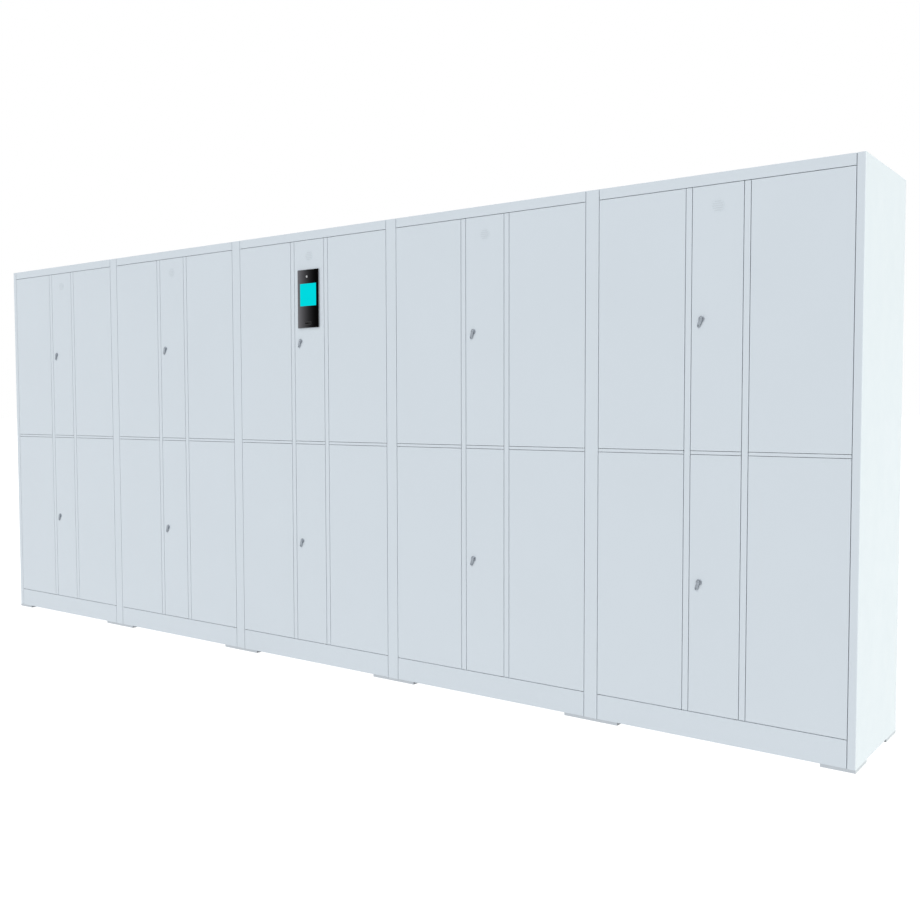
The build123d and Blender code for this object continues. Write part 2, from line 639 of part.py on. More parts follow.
def write_doors():
    for row, z in ROWS.items():
        left = compartment_door(z)
        right = [other_hand(piece) for piece in left]
        service = service_door(z, KEY_HEIGHTS[row], False)
        turning = key_lock(KEY_HEIGHTS[row])
        for module in range(MODULES):
            holds_panel = module == MIDDLE_MODULE and row == "upper"
            middle = service_door(z, KEY_HEIGHTS[row], True) if holds_panel else service
            name = f"{module + 1}_{row}"
            save(f"door_{name}_left", [in_module(piece, module) for piece in left])
            save(f"door_{name}_right", [in_module(piece, module) for piece in right])
            save(f"service_door_{name}", [in_module(piece, module) for piece in middle])
            save(f"key_lock_{name}", [in_module(piece, module) for piece in turning])


def write_control_panel():
    for make in (panel_housing, panel_glass, touch_screen, camera_lens, coin_acceptor):
        save(make.__name__, [in_module(piece, MIDDLE_MODULE) for piece in make()])


os.makedirs("parts", exist_ok=True)
write_fixed_nodes()
write_doors()
write_control_panel()
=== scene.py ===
import json
import math

import bmesh
import bpy
from mathutils import Matrix, Vector


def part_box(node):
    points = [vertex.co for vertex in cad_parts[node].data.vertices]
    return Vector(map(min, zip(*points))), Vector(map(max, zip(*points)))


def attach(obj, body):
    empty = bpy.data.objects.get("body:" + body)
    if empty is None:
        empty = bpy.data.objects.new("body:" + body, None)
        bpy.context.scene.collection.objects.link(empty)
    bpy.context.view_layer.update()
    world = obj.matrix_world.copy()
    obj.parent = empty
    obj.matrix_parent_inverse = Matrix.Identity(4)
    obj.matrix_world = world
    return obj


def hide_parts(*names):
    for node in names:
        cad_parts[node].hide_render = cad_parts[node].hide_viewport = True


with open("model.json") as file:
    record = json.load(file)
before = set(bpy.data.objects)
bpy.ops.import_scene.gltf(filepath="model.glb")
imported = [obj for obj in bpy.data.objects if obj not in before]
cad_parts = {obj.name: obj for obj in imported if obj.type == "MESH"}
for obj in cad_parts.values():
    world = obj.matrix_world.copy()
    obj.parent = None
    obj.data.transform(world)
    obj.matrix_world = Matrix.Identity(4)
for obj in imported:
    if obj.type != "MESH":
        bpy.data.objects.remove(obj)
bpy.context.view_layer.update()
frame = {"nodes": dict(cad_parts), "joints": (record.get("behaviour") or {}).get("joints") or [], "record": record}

# Sizes and places are in metres, in the row frame: X along the bank, Y to the back, Z up.
NODES = frame["nodes"]
JOINTS = {joint["name"]: joint for joint in frame["joints"]}
MODULES = 5
ROWS = ("upper", "lower")
MM = 0.001
PANEL_DOOR = "service_door_3_upper"  # the service door that carries the control panel
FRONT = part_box("front_posts")[0].y
FOOT_SPAN = [corner.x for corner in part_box("foot_plates")]
SHEET = 1.2 * MM

CAMERA_PLACE = (3.0811, -3.4340, 1.1088)
CAMERA_TURN = 36.70  # degrees to the left of +Y
CAMERA_TILT = -2.89
CAMERA_ROLL = -0.165
CAMERA_LENS = 40.371  # mm, on a 36 mm sensor
CAMERA_SENSOR = 36
CAMERA_SHIFT = (0.0187, -0.0017)


def make_camera():
    data = bpy.data.cameras.new("camera")
    data.lens = CAMERA_LENS
    data.sensor_width = CAMERA_SENSOR
    data.shift_x, data.shift_y = CAMERA_SHIFT
    data.clip_start, data.clip_end = 0.05, 100
    camera = bpy.data.objects.new("camera", data)
    turn = Matrix.Rotation(math.radians(CAMERA_TURN), 4, "Z")
    tilt = Matrix.Rotation(math.radians(90 + CAMERA_TILT), 4, "X")
    roll = Matrix.Rotation(math.radians(CAMERA_ROLL), 4, "Z")
    camera.matrix_world = Matrix.Translation(CAMERA_PLACE) @ turn @ tilt @ roll
    bpy.context.scene.collection.objects.link(camera)
    bpy.context.scene.camera = camera


make_camera()


# Finishes


def rgba(value):
    return (*value, 1) if hasattr(value, "__len__") else (value, value, value, 1)


def shaded(color, factor):
    return tuple(min(1, part * factor) for part in color)


class Shader:
    """A node material: shorthand for adding nodes and joining their sockets."""

    def __init__(self, name, color, roughness, metallic=0.0):
        self.material = bpy.data.materials.new(name)
        self.material.use_nodes = True
        self.tree = self.material.node_tree
        self.surface = self.tree.nodes["Principled BSDF"]
        self.set("Base Color", rgba(color))
        self.set("Roughness", roughness)
        self.set("Metallic", metallic)
        self.place = self.tree.nodes.new("ShaderNodeTexCoord").outputs["Object"]

    def set(self, socket, value):
        self.surface.inputs[socket].default_value = value

    def drive(self, socket, source):
        self.tree.links.new(source, self.surface.inputs[socket])

    def noise(self, scale, detail=3, stretch=(1, 1, 1)):
        """Soft cloudy variation, from 0 to 1, with about `scale` clouds in a metre."""
        mapping = self.tree.nodes.new("ShaderNodeMapping")
        mapping.inputs["Scale"].default_value = stretch
        self.tree.links.new(self.place, mapping.inputs["Vector"])
        node = self.tree.nodes.new("ShaderNodeTexNoise")
        node.inputs["Scale"].default_value = scale
        node.inputs["Detail"].default_value = detail
        self.tree.links.new(mapping.outputs[0], node.inputs["Vector"])
        return node.outputs["Fac"]

    def along(self, axis, low, high):
        """0 at the low place on an axis, 1 at the high place, and even between them."""
        split = self.tree.nodes.new("ShaderNodeSeparateXYZ")
        self.tree.links.new(self.place, split.inputs[0])
        node = self.tree.nodes.new("ShaderNodeMapRange")
        node.inputs["From Min"].default_value = low
        node.inputs["From Max"].default_value = high
        self.tree.links.new(split.outputs[axis], node.inputs["Value"])
        return node.outputs[0]

    def power(self, source, exponent):
        node = self.tree.nodes.new("ShaderNodeMath")
        node.operation = "POWER"
        node.inputs[1].default_value = exponent
        self.tree.links.new(source, node.inputs[0])
        return node.outputs[0]

    def ramp(self, source, low, high, start=0.3, end=0.7):
        """Maps a number to colours or greys between two stops."""
        node = self.tree.nodes.new("ShaderNodeValToRGB")
        first, last = node.color_ramp.elements
        first.position, last.position = start, end
        first.color, last.color = rgba(low), rgba(high)
        self.tree.links.new(source, node.inputs["Fac"])
        return node.outputs["Color"]

    def bump(self, height, strength, distance):
        node = self.tree.nodes.new("ShaderNodeBump")
        node.inputs["Strength"].default_value = strength
        node.inputs["Distance"].default_value = distance
        self.tree.links.new(height, node.inputs["Height"])
        self.drive("Normal", node.outputs[0])


def powder_coat(name, color, roughness=0.42):
    """Smooth powder coat: orange peel, and faint unevenness in colour and sheen."""
    shader = Shader(name, color, roughness)
    tone = shader.ramp(shader.noise(3.1), shaded(color, 0.994), shaded(color, 1.006))
    shader.drive("Base Color", tone)
    sheen = shader.ramp(shader.noise(14), roughness - 0.05, roughness + 0.06)
    shader.drive("Roughness", sheen)
    shader.bump(shader.noise(420, 2), 0.04, 0.4 * MM)
    return shader.material


def bare_metal(name, color, roughness, grain=(1, 1, 30)):
    """Plated or brushed steel with a fine grain."""
    shader = Shader(name, color, roughness, 1.0)
    lines = shader.noise(60, 4, grain)
    shader.drive("Base Color", shader.ramp(lines, shaded(color, 0.88), shaded(color, 1.08)))
    rough = shader.ramp(shader.noise(180), roughness * 0.8, roughness * 1.25)
    shader.drive("Roughness", rough)
    shader.bump(lines, 0.06, 0.2 * MM)
    return shader.material


def moulded(name, color, roughness=0.45):
    """Plastic with a fine moulded grain."""
    shader = Shader(name, color, roughness)
    tone = shader.ramp(shader.noise(40), shaded(color, 0.92), shaded(color, 1.08))
    shader.drive("Base Color", tone)
    rough = shader.ramp(shader.noise(90), roughness * 0.9, roughness * 1.15)
    shader.drive("Roughness", rough)
    shader.bump(shader.noise(1500, 2), 0.08, 0.2 * MM)
    return shader.material


def smoked_glass_with_painted_reflection(name):
    """Black glass with a painted reflection: grey that grows towards its left edge, with faint wipe marks."""
    low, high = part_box("panel_glass")
    shader = Shader(name, (0.004, 0.003, 0.004), 0.08)
    shader.set("Specular IOR Level", 0.016)
    # painted reflection: the glass's colour grows from black to grey towards its left edge
    painted_reflection = shader.power(shader.along("X", high.x, low.x), 2.7)
    glass_colour_with_painted_reflection = shader.ramp(painted_reflection, (0.0, 0.0, 0.0), (0.150, 0.148, 0.160), 0.0, 1.0)
    shader.drive("Base Color", glass_colour_with_painted_reflection)
    wiped = shader.ramp(shader.noise(25, 4, (1, 1, 0.3)), 0.06, 0.13)
    shader.drive("Roughness", wiped)
    return shader.material


def lit_screen(name, color):
    """A lit display: even light with faint variation."""
    shader = Shader(name, shaded(color, 0.02), 0.2)
    shader.set("Specular IOR Level", 0.0)
    glow = shader.ramp(shader.noise(20), shaded(color, 0.97), color)
    shader.drive("Emission Color", glow)
    shader.set("Emission Strength", 1.0)
    return shader.material


def solder_mask(name, color):
    """Green circuit board with the paler pattern of its tracks."""
    shader = Shader(name, color, 0.35)
    tracks = shader.noise(260, 1, (1, 1, 0.15))
    shader.drive("Base Color", shader.ramp(tracks, color, shaded(color, 1.9), 0.5, 0.53))
    shader.bump(tracks, 0.2, 0.1 * MM)
    return shader.material


PAINT = (0.570, 0.628, 0.680)
FINISHES = {
    "cabinet_paint": powder_coat("cabinet_paint_finish", PAINT),
    "foot_paint": powder_coat("foot_paint_finish", (0.45, 0.49, 0.53), 0.5),
    # painted shade: a dark finish for the foot plates' ends that face the shadow under the bank
    "foot_painted_shade": powder_coat("foot_painted_shade_finish", (0.22, 0.235, 0.25), 0.6),
    "zinc_steel": bare_metal("zinc_steel_finish", (0.60, 0.61, 0.63), 0.34),
    "lock_chrome": bare_metal("lock_chrome_finish", (0.33, 0.36, 0.40), 0.25),
    "lock_recess": bare_metal("lock_recess_finish", (0.26, 0.285, 0.315), 0.35),
    "key_metal": bare_metal("key_metal_finish", (0.32, 0.355, 0.395), 0.34, (1, 1, 1)),
    "pin_steel_painted_shade": bare_metal("pin_steel_painted_shade_finish", (0.10, 0.105, 0.115), 0.35),
    # steel pins darkened as painted shade, as dark as the shaded door gaps that they stand in
    "brass": bare_metal("brass_finish", (0.70, 0.52, 0.24), 0.3),
    "circuit_board": solder_mask("circuit_board_finish", (0.012, 0.10, 0.045)),
    "black_plastic": moulded("black_plastic_finish", (0.015, 0.015, 0.017)),
    "grey_plastic": moulded("grey_plastic_finish", (0.075, 0.078, 0.085), 0.35),
    "duct_plastic": moulded("duct_plastic_finish", (0.33, 0.34, 0.35), 0.5),
    "white_plastic": moulded("white_plastic_finish", (0.62, 0.61, 0.58)),
    "blue_plastic": moulded("blue_plastic_finish", (0.02, 0.09, 0.33), 0.35),
    "green_plastic": moulded("green_plastic_finish", (0.03, 0.30, 0.10), 0.4),
    "panel_rim": moulded("panel_rim_finish", (0.010, 0.010, 0.011), 0.25),
    "panel_frame": powder_coat("panel_frame_finish", (0.30, 0.32, 0.34), 0.4),
    # the glass carries a painted reflection, grey towards its left edge
    "panel_glass": smoked_glass_with_painted_reflection("panel_glass_painted_reflection_finish"),
    "screen": lit_screen("screen_finish", (0.0003, 0.69, 0.735)),
    "lens": moulded("lens_finish", (0.42, 0.43, 0.44), 0.15),
    "emblem": powder_coat("emblem_finish", shaded(PAINT, 0.92), 0.35),
}


# Shapes


def circle(radius, sides=32):
    """A round outline. Every outline is called with its inset, and gives pairs of numbers."""

    def outline(inset=0):
        turns = [2 * math.pi * i / sides for i in range(sides)]
        reach = radius - inset
        return [(reach * math.cos(turn), reach * math.sin(turn)) for turn in turns]

    return outline


def rounded(width, height, corner, steps=4):
    """A rectangle about the middle, with round corners."""

    def outline(inset=0):
        corner_inset = max(corner, inset)
        points = []
        for quarter, (right, up) in enumerate(((1, 1), (-1, 1), (-1, -1), (1, -1))):
            for step in range(steps + 1):
                turn = math.pi / 2 * (quarter + step / steps)
                across = right * (width / 2 - corner_inset)
                rise = up * (height / 2 - corner_inset)
                reach = corner_inset - inset
                points.append((across + reach * math.cos(turn), rise + reach * math.sin(turn)))
        return points

    return outline


def capsule(radius, length, steps=14):
    """A round end about the middle, and one that lies `length` below it."""

    def outline(inset=0):
        points = []
        reach = radius - inset
        for start, rise in ((0, 0), (math.pi, -length)):
            for step in range(steps + 1):
                turn = start + math.pi * step / steps
                points.append((reach * math.cos(turn), rise + reach * math.sin(turn)))
        return points

    return outline


AXES = {
    "X": (Vector((0, 1, 0)), Vector((0, 0, 1)), Vector((1, 0, 0))),
    "Y": (Vector((1, 0, 0)), Vector((0, 0, 1)), Vector((0, 1, 0))),
    "Z": (Vector((1, 0, 0)), Vector((0, 1, 0)), Vector((0, 0, 1))),
}
SAME_POINT = 1e-7  # points nearer than this are merged
SHARP_ANGLE = 32  # degrees between two faces, above which their edge is sharp


class Model:
    """A mesh made of closed shapes, each with its own finish."""

    def __init__(self):
        self.mesh = bmesh.new()
        self.finishes = []

    def skin(self, loops, finish, ring=False):
        """Joins loops of points into one surface, which closes on itself or is capped."""
        if finish not in self.finishes:
            self.finishes.append(finish)
        rows = [[self.mesh.verts.new(point) for point in loop] for loop in loops]
        caps = [] if ring else [rows[0], rows[-1]]
        if ring:
            rows.append(rows[0])
        faces = [self.mesh.faces.new(cap) for cap in caps]
        for row, following in zip(rows, rows[1:]):
            for i in range(len(row)):
                j = i - 1
                faces.append(self.mesh.faces.new((row[j], row[i], following[i], following[j])))
        for face in faces:
            face.material_index = self.finishes.index(finish)
            face.smooth = True

    def prism(self, outline, middle, axis, length, finish, bevel=0.0):
        """An outline drawn out along an axis from its middle, with its end edges bevelled."""
        across, up, out = AXES[axis]
        sign = math.copysign(1, length)
        end = abs(length)
        loops = []
        for reach, inset in ((0, bevel), (bevel, 0), (end - bevel, 0), (end, bevel)):
            origin = Vector(middle) + out * sign * reach
            loops.append([origin + across * u + up * v for u, v in outline(inset)])
        self.skin(loops, finish)

    def block(self, low, high, finish, bevel=0.0):
        """A box with softened edges between two corners."""
        low, high = ordered(low, high)
        size = high - low
        middle = (low + high) / 2
        outline = rounded(size.x, size.z, bevel, 2 if bevel else 1)
        self.prism(outline, (middle.x, low.y, middle.z), "Y", size.y, finish, bevel)

    def place(self, name, body, slot, replaced=()):
        """Makes the finished piece, which moves with a body of the frame."""
        bmesh.ops.remove_doubles(self.mesh, verts=self.mesh.verts, dist=SAME_POINT)
        bmesh.ops.recalc_face_normals(self.mesh, faces=self.mesh.faces)
        data = bpy.data.meshes.new(name)
        self.mesh.to_mesh(data)
        self.mesh.free()
        data.set_sharp_from_angle(angle=math.radians(SHARP_ANGLE))
        for finish in self.finishes:
            data.materials.append(FINISHES[finish])
        piece = bpy.data.objects.new(name, data)
        bpy.context.scene.collection.objects.link(piece)
        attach(piece, body)
        if replaced:
            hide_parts(*replaced)


def ordered(a, b):
    low = Vector([min(pair) for pair in zip(a, b)])
    high = Vector([max(pair) for pair in zip(a, b)])
    return low, high


def islands(node):
    """The lowest and highest corner of each part of a CAD node that shares no point with others."""
    mesh = NODES[node].data
    places = [tuple(round(part, 6) for part in vertex.co) for vertex in mesh.vertices]
    leader = {place: place for place in places}

    def find(place):
        while leader[place] != place:
            leader[place] = leader[leader[place]]
            place = leader[place]
        return place

    for polygon in mesh.polygons:
        first = find(places[polygon.vertices[0]])
        for index in polygon.vertices[1:]:
            leader[find(places[index])] = first
    groups = {}
    for place in leader:
        groups.setdefault(find(place), []).append(place)
    boxes = []
    for group in groups.values():
        columns = list(zip(*group))
        boxes.append((Vector([min(c) for c in columns]), Vector([max(c) for c in columns])))
    return sorted(boxes, key=lambda box: tuple(box[0]))


def dress(node, finish, inside=None):
    """Gives a CAD node a finish, or only those of its faces that lie wholly inside a space."""
    mesh = NODES[node].data
    if inside is None:
        mesh.materials.clear()
        mesh.materials.append(FINISHES[finish])
        return
    if FINISHES[finish].name not in mesh.materials:
        mesh.materials.append(FINISHES[finish])
    index = mesh.materials.find(FINISHES[finish].name)
    for polygon in mesh.polygons:
        if all(inside(mesh.vertices[i].co) for i in polygon.vertices):
            polygon.material_index = index


# Key locks


KEY_LENGTH = 23.5 * MM  # from the plug's axis to the ring hole
KEY_RADIUS = 5.5 * MM
KEY_THICKNESS = 2.6 * MM
KEY_LEAN = 22  # degrees
KEY_TILT = 8  # degrees, its lower end towards the door
KEY_HOLE = 2.6 * MM
KEY_DISH = 0.5 * MM
KEY_RIVET = (2.6 * MM, 0.8 * MM)  # the radius and height of the key's rivet
PLUG_RADIUS = 6 * MM
PLUG_PROUD = 5 * MM
PLUG_BACK = 22 * MM  # behind the front plane
CAM_RADIUS = 7 * MM
CAM_LENGTH = 45.5 * MM  # from the plug's axis to the middle of the cam's round end
CAM_THICKNESS = 2.5 * MM
CAM_WASHER = (6.3 * MM, 0.8 * MM)  # radius and height
CAM_BOLT = (5 * MM, 3.2 * MM)


def add_key(model, x, z):
    """A dished key bow with a raised rim, its ring hole and the rivet that it folds on."""
    start = len(model.mesh.verts)
    outline = capsule(KEY_RADIUS, KEY_LENGTH)
    front = -KEY_THICKNESS
    rim = (  # the inset and the depth of each loop, from the back edge over the rim to the dish
        (0, 0),
        (0, front + 0.8 * MM),
        (0.3 * MM, front + 0.3 * MM),
        (0.8 * MM, front),
        (1.6 * MM, front),
        (1.9 * MM, front + KEY_DISH),
    )
    loops = [[Vector((u, y, v)) for u, v in outline(inset)] for inset, y in rim]
    hole = capsule(KEY_HOLE, 0)()
    for y in (front + KEY_DISH, 0):
        loops.append([Vector((u, y, v - KEY_LENGTH)) for u, v in hole])
    model.skin(loops, "key_metal", ring=True)
    radius, height = KEY_RIVET
    rivet = (0, front + height, 0)
    model.prism(circle(radius), rivet, "Y", -height, "lock_chrome", 0.3 * MM)
    lean = Matrix.Rotation(math.radians(KEY_LEAN), 4, "Y")
    hang = lean @ Matrix.Rotation(math.radians(KEY_TILT), 4, "X")
    place = Matrix.Translation((x, FRONT - PLUG_PROUD, z)) @ hang
    model.mesh.verts.ensure_lookup_table()
    bmesh.ops.transform(model.mesh, matrix=place, verts=model.mesh.verts[start:])


def add_cam(model, x, z):
    """The plug, the cam on its back end and the bolt and washer that hold it."""
    cam_front = FRONT + PLUG_BACK
    proud = FRONT - PLUG_PROUD
    plug = circle(PLUG_RADIUS)
    model.prism(plug, (x, proud, z), "Y", cam_front - proud, "lock_chrome", 0.4 * MM)
    upright = [(-u, -v) for u, v in capsule(CAM_RADIUS, CAM_LENGTH)()]

    def cam(inset=0):
        return shrunk(upright, inset)

    model.prism(cam, (x, cam_front, z), "Y", CAM_THICKNESS, "zinc_steel", 0.3 * MM)
    washer = cam_front + CAM_THICKNESS
    radius, height = CAM_WASHER
    model.prism(circle(radius), (x, washer, z), "Y", height, "zinc_steel", 0.2 * MM)
    bolt = (x, washer + height, z)
    radius, height = CAM_BOLT
    model.prism(circle(radius, 6), bolt, "Y", height, "zinc_steel", 0.5 * MM)


def shrunk(points, inset):
    """Moves the points of a convex outline towards its middle by about the inset."""
    middle = Vector((sum(u for u, v in points), sum(v for u, v in points))) / len(points)
    moved = []
    for point in points:
        away = Vector(point) - middle
        moved.append(tuple(Vector(point) - away.normalized() * inset))
    return moved


def make_keys():
    for module in range(1, MODULES + 1):
        for row in ROWS:
            lock = f"key_lock_{module}_{row}"
            x, _, z = JOINTS[f"{lock}_turn"]["pos_m"]
            model = Model()
            add_cam(model, x, z)
            add_key(model, x, z)
            model.place(f"key_{module}_{row}", lock, "lock_chrome", [lock])


# Electric locks


LATCH_GAP = (7 * MM, 15 * MM)  # the mouth, measured from the divider
LATCH_DEPTH = 26 * MM
LATCH_HALF_HEIGHT = 15 * MM
LATCH_PLATE = 1.2 * MM  # the steel plate on the divider
LATCH_LID = (1.6 * MM, 0.5 * MM)  # the faces of the outer plate, from the CAD solid's side
LATCH_SETBACK = 0.8 * MM  # the plastic body, behind the edges of the plates
LATCH_INSET = 1 * MM  # the same at its back, top and bottom
LATCH_ROLLER = (6 * MM, 13.2 * MM)  # behind the lock's front and above its middle
LATCH_SCREW_INSET = 6 * MM


def add_screw(model, middle, axis, length, radius):
    """A pan-head screw with a cross in its head."""
    across, up, out = AXES[axis]
    model.prism(circle(radius, 20), middle, axis, length, "zinc_steel", abs(length) * 0.4)
    face = Vector(middle) + out * length
    for bar in ((across, up), (up, across)):
        reach = bar[0] * radius * 0.6 + bar[1] * radius * 0.13 + out * abs(length) * 0.05
        model.block(face - reach, face + reach, "black_plastic")


def add_electric_lock(model, low, high, side):
    """Steel plates over a black body with an open mouth; side is 1 where the divider is at +X."""
    middle = (low + high) / 2
    divider = high.x if side > 0 else low.x

    def part(across, depth, rise, finish, bevel=0.3 * MM):
        xs = [divider - side * place for place in across]
        ys = [low.y + place for place in depth]
        zs = [middle.z + place for place in rise]
        model.block((xs[0], ys[0], zs[0]), (xs[1], ys[1], zs[1]), finish, bevel)

    width, depth, half = high.x - low.x, high.y - low.y, (high.z - low.z) / 2
    inner = (LATCH_PLATE, width - LATCH_LID[0])
    body_back = depth - LATCH_INSET
    for across in ((0, inner[0]), (inner[1], width - LATCH_LID[1])):
        part(across, (0, depth), (LATCH_HALF_HEIGHT, half), "zinc_steel")
        part(across, (0, depth), (-half, -LATCH_HALF_HEIGHT), "zinc_steel")
        part(across, (LATCH_DEPTH, depth), (-LATCH_HALF_HEIGHT, LATCH_HALF_HEIGHT), "zinc_steel", 0)
    for rise in ((LATCH_HALF_HEIGHT, half - LATCH_INSET), (LATCH_INSET - half, -LATCH_HALF_HEIGHT)):
        part(inner, (LATCH_SETBACK, body_back), rise, "grey_plastic", 0.6 * MM)
    mouth = (-LATCH_HALF_HEIGHT, LATCH_HALF_HEIGHT)
    part(inner, (LATCH_DEPTH, body_back), mouth, "grey_plastic")
    part((inner[0], LATCH_GAP[0]), (LATCH_SETBACK, LATCH_DEPTH), mouth, "grey_plastic")
    part((LATCH_GAP[1], inner[1]), (LATCH_SETBACK, LATCH_DEPTH), mouth, "grey_plastic")
    gap_middle = divider - side * sum(LATCH_GAP) / 2
    reach = (LATCH_GAP[1] - LATCH_GAP[0]) / 2
    roller = (gap_middle - reach, low.y + LATCH_ROLLER[0], middle.z + LATCH_ROLLER[1])
    model.prism(circle(1.5 * MM, 16), roller, "X", 2 * reach, "lock_chrome")
    plunger = (gap_middle, low.y + LATCH_DEPTH, middle.z)
    model.prism(circle(2 * MM, 16), plunger, "Y", -3 * MM, "white_plastic", 0.5 * MM)
    plate = divider - side * (width - LATCH_LID[1])
    inset = LATCH_SCREW_INSET
    for depth_in in (inset, depth - inset):
        for rise in (inset - half, half - inset):
            place = (plate, low.y + depth_in, middle.z + rise)
            add_screw(model, place, "X", -side * 0.45 * MM, 2.2 * MM)


def make_electric_locks():
    model = Model()
    bank_low, bank_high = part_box("front_posts")
    width = (bank_high.x - bank_low.x) / MODULES
    for low, high in islands("electric_locks"):
        across = (low.x - bank_low.x) % width
        add_electric_lock(model, low, high, 1 if across < width / 2 else -1)
    model.place("lock_cases", "root", "zinc_steel", ["electric_locks"])


# Fasteners


SHORTEST_BOLT = 12 * MM
BOLT_HEAD = 5.3 * MM  # with its washer
BOLT_NUT = 6.8 * MM  # with its washer
BOLT_WASHER = 1.2 * MM
SHANK_RADIUS = 4 * MM
BACK_RIVETS = 9  # in each upright row
RIVET_INSET = 14 * MM
RIVET_RADIUS = 3 * MM
RIVET_HEIGHT = 0.7 * MM


def make_fasteners():
    """Hexagon bolts, nuts and washers where neighbouring cabinets are joined."""
    model = Model()
    washer = BOLT_WASHER
    for low, high in islands("joining_bolts"):
        middle = (low + high) / 2
        radius = (high.z - low.z) / 2
        if high.x - low.x < SHORTEST_BOLT:
            continue  # a nut of the CAD node, which is drawn with its bolt
        for start, length in bolt_spans(high.x):
            place = (start, middle.y, middle.z)
            turned = math.copysign(1, length)
            model.prism(circle(radius, 32), place, "X", turned * washer, "zinc_steel", 0.3 * MM)
            head = (start + turned * washer, middle.y, middle.z)
            rest = length - turned * washer
            model.prism(circle(radius * 0.97, 6), head, "X", rest, "zinc_steel", 0.9 * MM)
        shank = (low.x, middle.y, middle.z)
        reach = high.x - low.x - 4 * MM
        model.prism(circle(SHANK_RADIUS, 24), shank, "X", reach, "zinc_steel", 0.6 * MM)
    model.place("joining_fasteners", "root", "zinc_steel", ["joining_bolts"])


def bolt_spans(high):
    """Where the nut and the head begin, at the sheets that they clamp, and how far they reach."""
    return ((high - BOLT_HEAD - 2 * SHEET, -BOLT_NUT), (high - BOLT_HEAD, BOLT_HEAD))


def make_back_rivets():
    """Blind rivets that fix each back sheet to its cabinet."""
    model = Model()
    head = circle(RIVET_RADIUS, 16)
    for low, high in islands("back_panels"):
        for i in range(BACK_RIVETS):
            z = low.z + RIVET_INSET + (high.z - low.z - 2 * RIVET_INSET) * i / (BACK_RIVETS - 1)
            for x in (low.x + RIVET_INSET, high.x - RIVET_INSET):
                model.prism(head, (x, high.y, z), "Y", RIVET_HEIGHT, "lock_chrome", 0.4 * MM)
    model.place("back_rivets", "root", "zinc_steel")


# Electrics


BOARD_BACK = 6.4 * MM  # the spacers, from the back sheet to the board
BOARD_FRONT = 8 * MM
BOARD_PARTS = 15 * MM  # how far the tallest parts stand out from the board
BOARD_FIXING = 6 * MM  # from the board's edges to its screws
PIN_PITCH = 2.54  # mm
TERMINAL_PITCH = 5  # mm, at least
SUPPLY_DEPTH = 30 * MM  # only the power supply is deeper
SUPPLY_SHEET = 1 * MM
SUPPLY_STRIP = 20 * MM  # the height of its terminal strip
SUPPLY_BASE = 14 * MM  # from its front to the strip's face
SUPPLY_BORDER = 8 * MM
SUPPLY_BARS = 15
SUPPLY_WAYS = 7
SUPPLY_WALL = 0.7 * MM  # half a wall between two ways
TALL_BOARD = 180 * MM


class Board:
    """Places parts on a circuit board's front, by their distances from its lower left corner."""

    def __init__(self, model, low, high):
        self.model = model
        self.low, self.high = low, high
        self.width, self.height = high.x - low.x, high.z - low.z
        self.face = high.y - BOARD_FRONT

    def part(self, across, up, width, height, depth, finish, bevel=0.4 * MM, proud=0):
        x = self.low.x + across - width / 2
        z = self.low.z + up - height / 2
        back = self.face - proud
        self.model.block((x, back - depth, z), (x + width, back, z + height), finish, bevel)

    def round_part(self, across, up, radius, depth, finish, bevel=0.4 * MM, proud=0):
        middle = (self.low.x + across, self.face - proud, self.low.z + up)
        self.model.prism(circle(radius, 20), middle, "Y", -depth, finish, bevel)

    def chip(self, across, up, width, height):
        self.part(across, up, width, height, 2 * MM, "black_plastic", 0.3 * MM)
        pins = int(height / (PIN_PITCH * MM))
        for i in range(pins):
            rise = up + (i - (pins - 1) / 2) * PIN_PITCH * MM
            self.part(across, rise, width + 3 * MM, 0.7 * MM, 0.5 * MM, "zinc_steel", 0)

    def relay(self, across, up, width):
        top = BOARD_PARTS - 0.5 * MM
        self.part(across, up, width, 16 * MM, top, "blue_plastic", 0.8 * MM)
        self.part(across, up, width - 4 * MM, 12 * MM, 0.3 * MM, "white_plastic", 0, top)

    def terminals(self, across, up, width):
        top = 10 * MM
        self.part(across, up, width, 12 * MM, top, "green_plastic", 0.5 * MM)
        ways = max(2, int(width / (TERMINAL_PITCH * MM)))
        for i in range(ways):
            place = across + (i - (ways - 1) / 2) * width / ways
            screw, slot, entry = up + 2 * MM, 10.4 * MM, up - 3.5 * MM
            self.round_part(place, screw, 1.6 * MM, 0.4 * MM, "zinc_steel", 0.1 * MM, top)
            self.part(place, screw, 0.5 * MM, 2.6 * MM, 0.1 * MM, "black_plastic", 0, slot)
            self.part(place, entry, 3 * MM, 2.6 * MM, 0.1 * MM, "black_plastic", 0, top)

    def capacitor(self, across, up, radius, height):
        self.round_part(across, up, radius, height, "black_plastic", 0.5 * MM)
        self.round_part(across, up, radius * 0.8, 0.2 * MM, "zinc_steel", 0, height)

    def fixings(self):
        inset = BOARD_FIXING
        for across in (inset, self.width - inset):
            for up in (inset, self.height - inset):
                x, z = self.low.x + across, self.low.z + up
                spacer = (x, self.high.y, z)
                self.model.prism(circle(3 * MM, 6), spacer, "Y", -BOARD_BACK, "brass")
                add_screw(self.model, (x, self.face, z), "Y", -1.8 * MM, 2.8 * MM)


